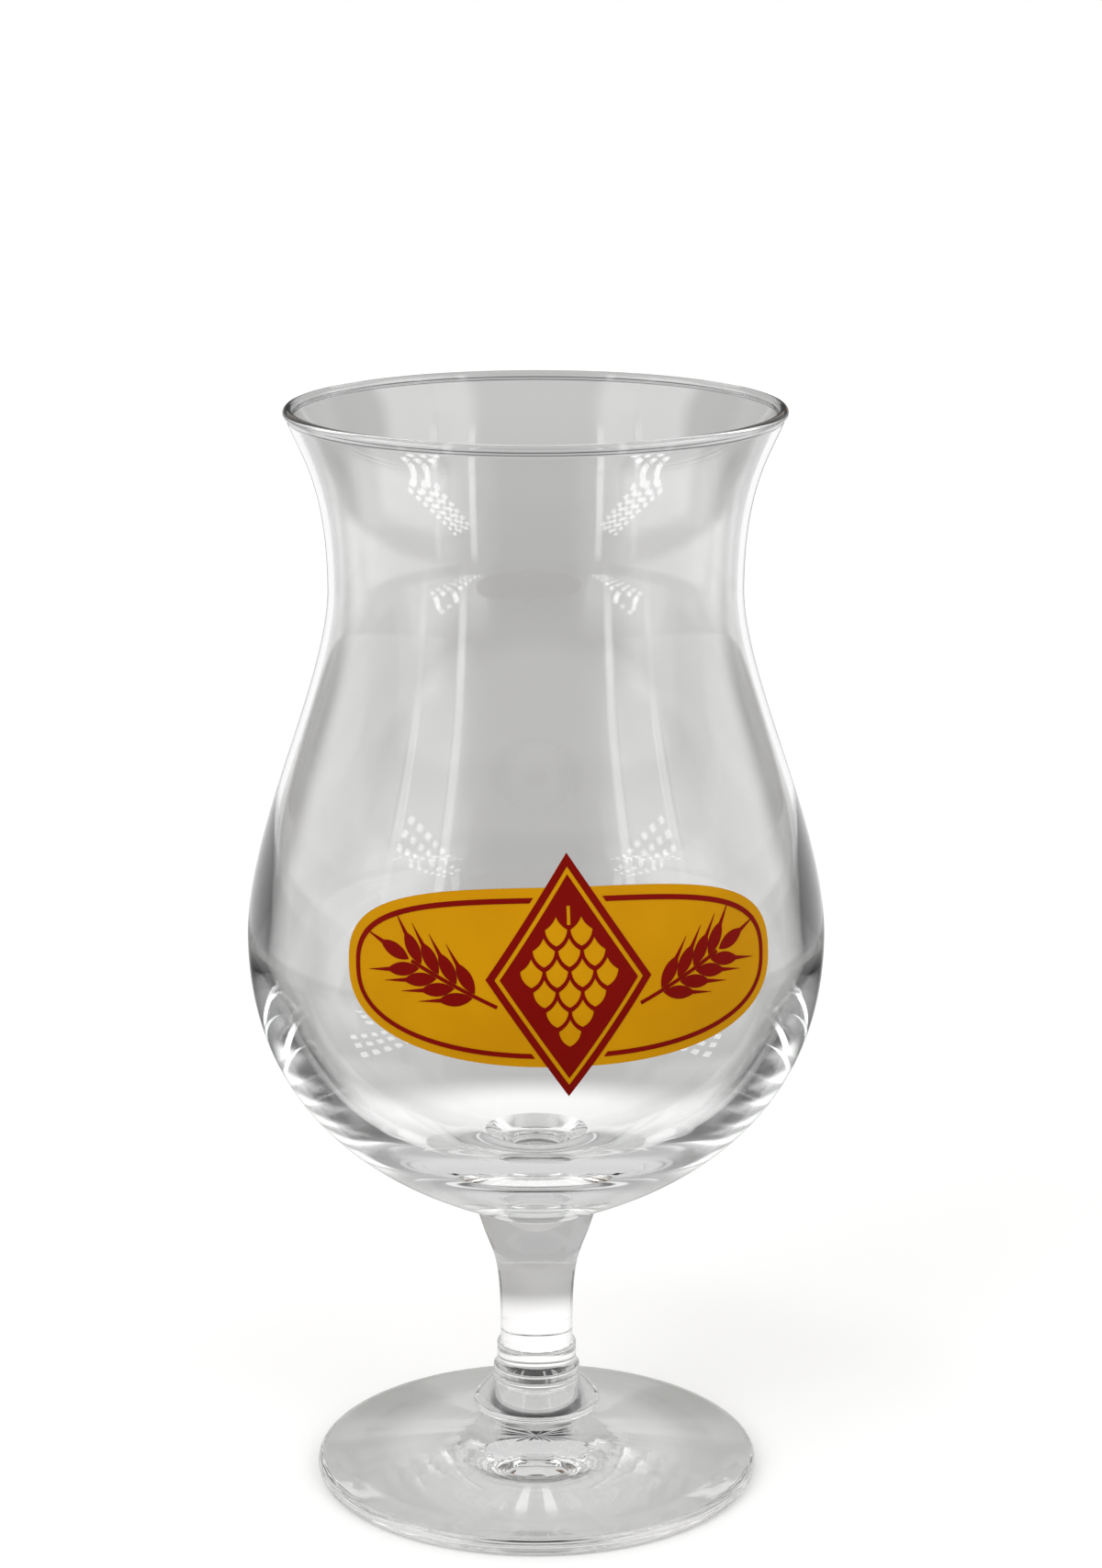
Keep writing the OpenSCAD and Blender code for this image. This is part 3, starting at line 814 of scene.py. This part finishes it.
def makeWorld():
    # white to the camera, a grey that rises to paler to the glass, and an even room light to all else
    world = bpy.data.worlds.new("studioRoom")
    bpy.context.scene.world = world
    world.use_nodes = True
    nodes, links = world.node_tree.nodes, world.node_tree.links
    nodes.clear()
    path = nodes.new("ShaderNodeLightPath")
    room = nodes.new("ShaderNodeBackground")
    room.inputs["Color"].default_value = studio["roomTint"]
    room.inputs["Strength"].default_value = studio["ambient"]
    white = nodes.new("ShaderNodeBackground")
    white.inputs["Strength"].default_value = 1.0
    white.inputs["Color"].default_value = (1, 1, 1, 1)
    seen = nodes.new("ShaderNodeBackground")
    where = nodes.new("ShaderNodeTexCoord")
    split = nodes.new("ShaderNodeSeparateXYZ")
    rise = addRange(nodes, *studio["skyReach"], studio["horizon"], studio["overhead"])
    either = addMath(nodes, "MAXIMUM")
    first = nodes.new("ShaderNodeMixShader")
    second = nodes.new("ShaderNodeMixShader")
    output = nodes.new("ShaderNodeOutputWorld")
    links.new(where.outputs["Generated"], split.inputs["Vector"])
    links.new(split.outputs["Z"], rise.inputs["Value"])
    links.new(rise.outputs["Result"], seen.inputs["Strength"])
    links.new(path.outputs["Is Glossy Ray"], either.inputs[0])
    links.new(path.outputs["Is Transmission Ray"], either.inputs[1])
    links.new(either.outputs["Value"], first.inputs["Fac"])
    links.new(room.outputs["Background"], first.inputs[1])
    links.new(seen.outputs["Background"], first.inputs[2])
    links.new(path.outputs["Is Camera Ray"], second.inputs["Fac"])
    links.new(first.outputs["Shader"], second.inputs[1])
    links.new(white.outputs["Background"], second.inputs[2])
    links.new(second.outputs["Shader"], output.inputs["Surface"])


def cardLight(name, strength, mirrorOnly, edges, skinOnly):
    # a light with soft edges; most are only mirrored, and one is mirrored only by the outer skin of the glass
    material, nodes, links, body = newMaterial(name)
    nodes.remove(body)
    path = nodes.new("ShaderNodeLightPath")
    share = addMath(nodes, "GREATER_THAN", 0.5 if mirrorOnly else -0.5)
    where = nodes.new("ShaderNodeTexCoord")
    split = nodes.new("ShaderNodeSeparateXYZ")
    links.new(where.outputs["UV"], split.inputs["Vector"])
    links.new(path.outputs["Glossy Depth"], share.inputs[0])
    if skinOnly:
        outside = addMath(nodes, "LESS_THAN", 0.5)
        both = addMath(nodes, "MULTIPLY")
        links.new(path.outputs["Transmission Depth"], outside.inputs[0])
        links.new(share.outputs["Value"], both.inputs[0])
        links.new(outside.outputs["Value"], both.inputs[1])
        share = both
    for axis, edge in zip(("X", "Y"), edges):
        aside = addMath(nodes, "PINGPONG", 0.5)
        fade = addRange(nodes, 0.0, edge)
        both = addMath(nodes, "MULTIPLY")
        links.new(split.outputs[axis], aside.inputs[0])
        links.new(aside.outputs["Value"], fade.inputs["Value"])
        links.new(fade.outputs["Result"], both.inputs[0])
        links.new(share.outputs["Value"], both.inputs[1])
        share = both
    clear = nodes.new("ShaderNodeBsdfTransparent")
    glow = nodes.new("ShaderNodeEmission")
    glow.inputs["Strength"].default_value = strength
    either = nodes.new("ShaderNodeMixShader")
    links.new(share.outputs["Value"], either.inputs["Fac"])
    links.new(clear.outputs["BSDF"], either.inputs[1])
    links.new(glow.outputs["Emission"], either.inputs[2])
    links.new(either.outputs["Shader"], nodes["Material Output"].inputs["Surface"])
    material.cycles.emission_sampling = "NONE"
    return material


def stageLight(card, strength, mirrorOnly, edges=soft["card"], skinOnly=False):
    paint(card, cardLight(card.name, strength, mirrorOnly, edges, skinOnly))
    card.visible_camera = card.visible_diffuse = card.visible_shadow = False


def makeSheet(name, start, end):
    pickOnly()
    columns = max(2, round(abs(end - start) / cardGrid["stepAngle"]))
    bpy.ops.mesh.primitive_grid_add(x_subdivisions=columns, y_subdivisions=cardGrid["rows"], size=1,
                                    location=(0, 0, 0))
    sheet = bpy.context.object
    sheet.name = name
    return sheet


def headingAt(start, end, share):
    return math.radians(start + (end - start) * (share + 0.5) - 90 - camera["azimuth"])


def makeCard(name, start, end, low, high, strength, distance, mirrorOnly=True, skinOnly=False):
    # an upright curved card between two angles
    card = makeSheet(name, start, end)
    for vertex in card.data.vertices:
        turn = headingAt(start, end, vertex.co.x)
        z = low + (high - low) * (vertex.co.y + 0.5)
        vertex.co = (distance * math.cos(turn), distance * math.sin(turn), z)
    stageLight(card, strength, mirrorOnly, skinOnly=skinOnly)


def makeMat(name, start, end, near, far, strength, mirrorOnly=True, height=lying["height"]):
    # a part of a ring, lying just over the floor round the glass
    mat = makeSheet(name, start, end)
    for vertex in mat.data.vertices:
        turn = headingAt(start, end, vertex.co.x)
        reach = near + (far - near) * (vertex.co.y + 0.5)
        vertex.co = (reach * math.cos(turn), reach * math.sin(turn), height)
    around = soft["matEnds"] if abs(end - start) < 360 else soft["closedRing"]
    across = min(soft["matMost"], soft["matWidth"] / (far - near))
    stageLight(mat, strength, mirrorOnly, (around, across))


def makeDots(name, side):
    # rows of small lamps on the floor beside the glass
    across, forward = side * dots["across"], dots["forward"]
    columns, rows = dots["cells"]
    pickOnly()
    bpy.ops.mesh.primitive_grid_add(x_subdivisions=columns, y_subdivisions=rows, size=1,
                                    location=(0, 0, 0))
    grid = bpy.context.object
    grid.name = name
    grid.scale = (*dots["size"], 1)
    bpy.ops.object.transform_apply(location=False, rotation=False, scale=True)
    bpy.ops.object.mode_set(mode="EDIT")
    bpy.ops.mesh.select_mode(type="FACE")
    bpy.ops.mesh.select_all(action="SELECT")
    bpy.ops.mesh.inset(thickness=dots["frame"] * dots["size"][0] / columns, use_individual=True)
    bpy.ops.mesh.select_all(action="INVERT")
    bpy.ops.mesh.delete(type="FACE")
    bpy.ops.mesh.select_mode(type="VERT")
    bpy.ops.object.mode_set(mode="OBJECT")
    turn = -math.radians(camera["azimuth"])
    grid.location = (across * math.cos(turn) + forward * math.sin(turn),
                     across * math.sin(turn) - forward * math.cos(turn), dots["height"])
    grid.rotation_euler.z = turn
    bpy.ops.object.transform_apply(location=True, rotation=True, scale=False)
    stageLight(grid, dots["strength"], True, soft["dots"])


def makeLamp(name, azimuth, elevation, distance, size, power):
    turn, rise = math.radians(azimuth - 90 - camera["azimuth"]), math.radians(elevation)
    level = math.cos(rise)
    spot = Vector((math.cos(turn) * level, math.sin(turn) * level, math.sin(rise))) * distance
    pickOnly()
    bpy.ops.object.light_add(type="AREA", location=spot + Vector((0, 0, lampAim)))
    lamp = bpy.context.object
    lamp.name = name
    lamp.data.shape = "RECTANGLE"
    lamp.data.size, lamp.data.size_y = size
    lamp.data.energy = power
    lamp.rotation_euler = spot.to_track_quat("Z", "Y").to_euler()
    lamp.visible_glossy = lamp.visible_transmission = False


def makeCamera():
    pickOnly()
    tilt, turn = math.radians(90 - camera["pitch"]), -math.radians(camera["azimuth"])
    bpy.ops.object.camera_add(location=Vector(camera["place"]) * mm, rotation=(tilt, 0, turn))
    view = bpy.context.object
    view.name = "studioCamera"
    view.data.lens = camera["lens"]
    view.data.sensor_width = camera["sensor"]
    view.data.clip_start = camera["nearest"]
    bpy.context.scene.camera = view


def onSide(side, row):
    start, end, *rest = row
    return side * start, side * end, *rest


def lightSide(side, tag):
    for number, row in enumerate(upright["walls"]):
        makeCard(f"wall{tag}{number}", *onSide(side, row))
    makeMat(f"beside{tag}", *onSide(side, lying["beside"]), False, lying["besideHeight"])
    makeCard(f"aloft{tag}", *onSide(side, upright["aloft"]), skinOnly=True)
    makeCard(f"flag{tag}", *onSide(side, upright["flag"]), mirrorOnly=False)
    for number, row in enumerate(lying["mats"]):
        makeMat(f"mat{tag}{number}", *onSide(side, row), height=lying["height"] + lying["layer"] * number)
    # painted light: mats that glow in the shadow under the foot, seen only by rays through the glass
    for number, row in enumerate(lying["under"]):
        makeMat(f"under{tag}{number}", *onSide(side, row), False, lying["underHeight"])
    makeDots(f"dots{tag}", side)


makeFloor()
makeWorld()
makeCamera()
makeCard("openFront", *upright["openFront"])
makeMat("frontMat", *lying["front"])
# painted shade: a black disc on the floor under the knop, seen only by the glass
makeMat("knopShadeDisc", *lying["knopShadeDisc"], False, lying["underHeight"])
makeCard("flagBack", *upright["flagBack"])
makeCard("flagFar", *upright["flagFar"], mirrorOnly=False)
lightSide(-1, "Left")
lightSide(1, "Right")
for lampName, lampRow in lamps.items():
    makeLamp(lampName, *lampRow)
scene = bpy.context.scene
scene.view_settings.view_transform = "Standard"
scene.cycles.max_bounces = camera["bounces"]
scene.cycles.transmission_bounces = camera["bounces"]
scene.cycles.glossy_bounces = camera["bounces"]
scene.cycles.transparent_max_bounces = camera["clearBounces"]
print("studio lit")
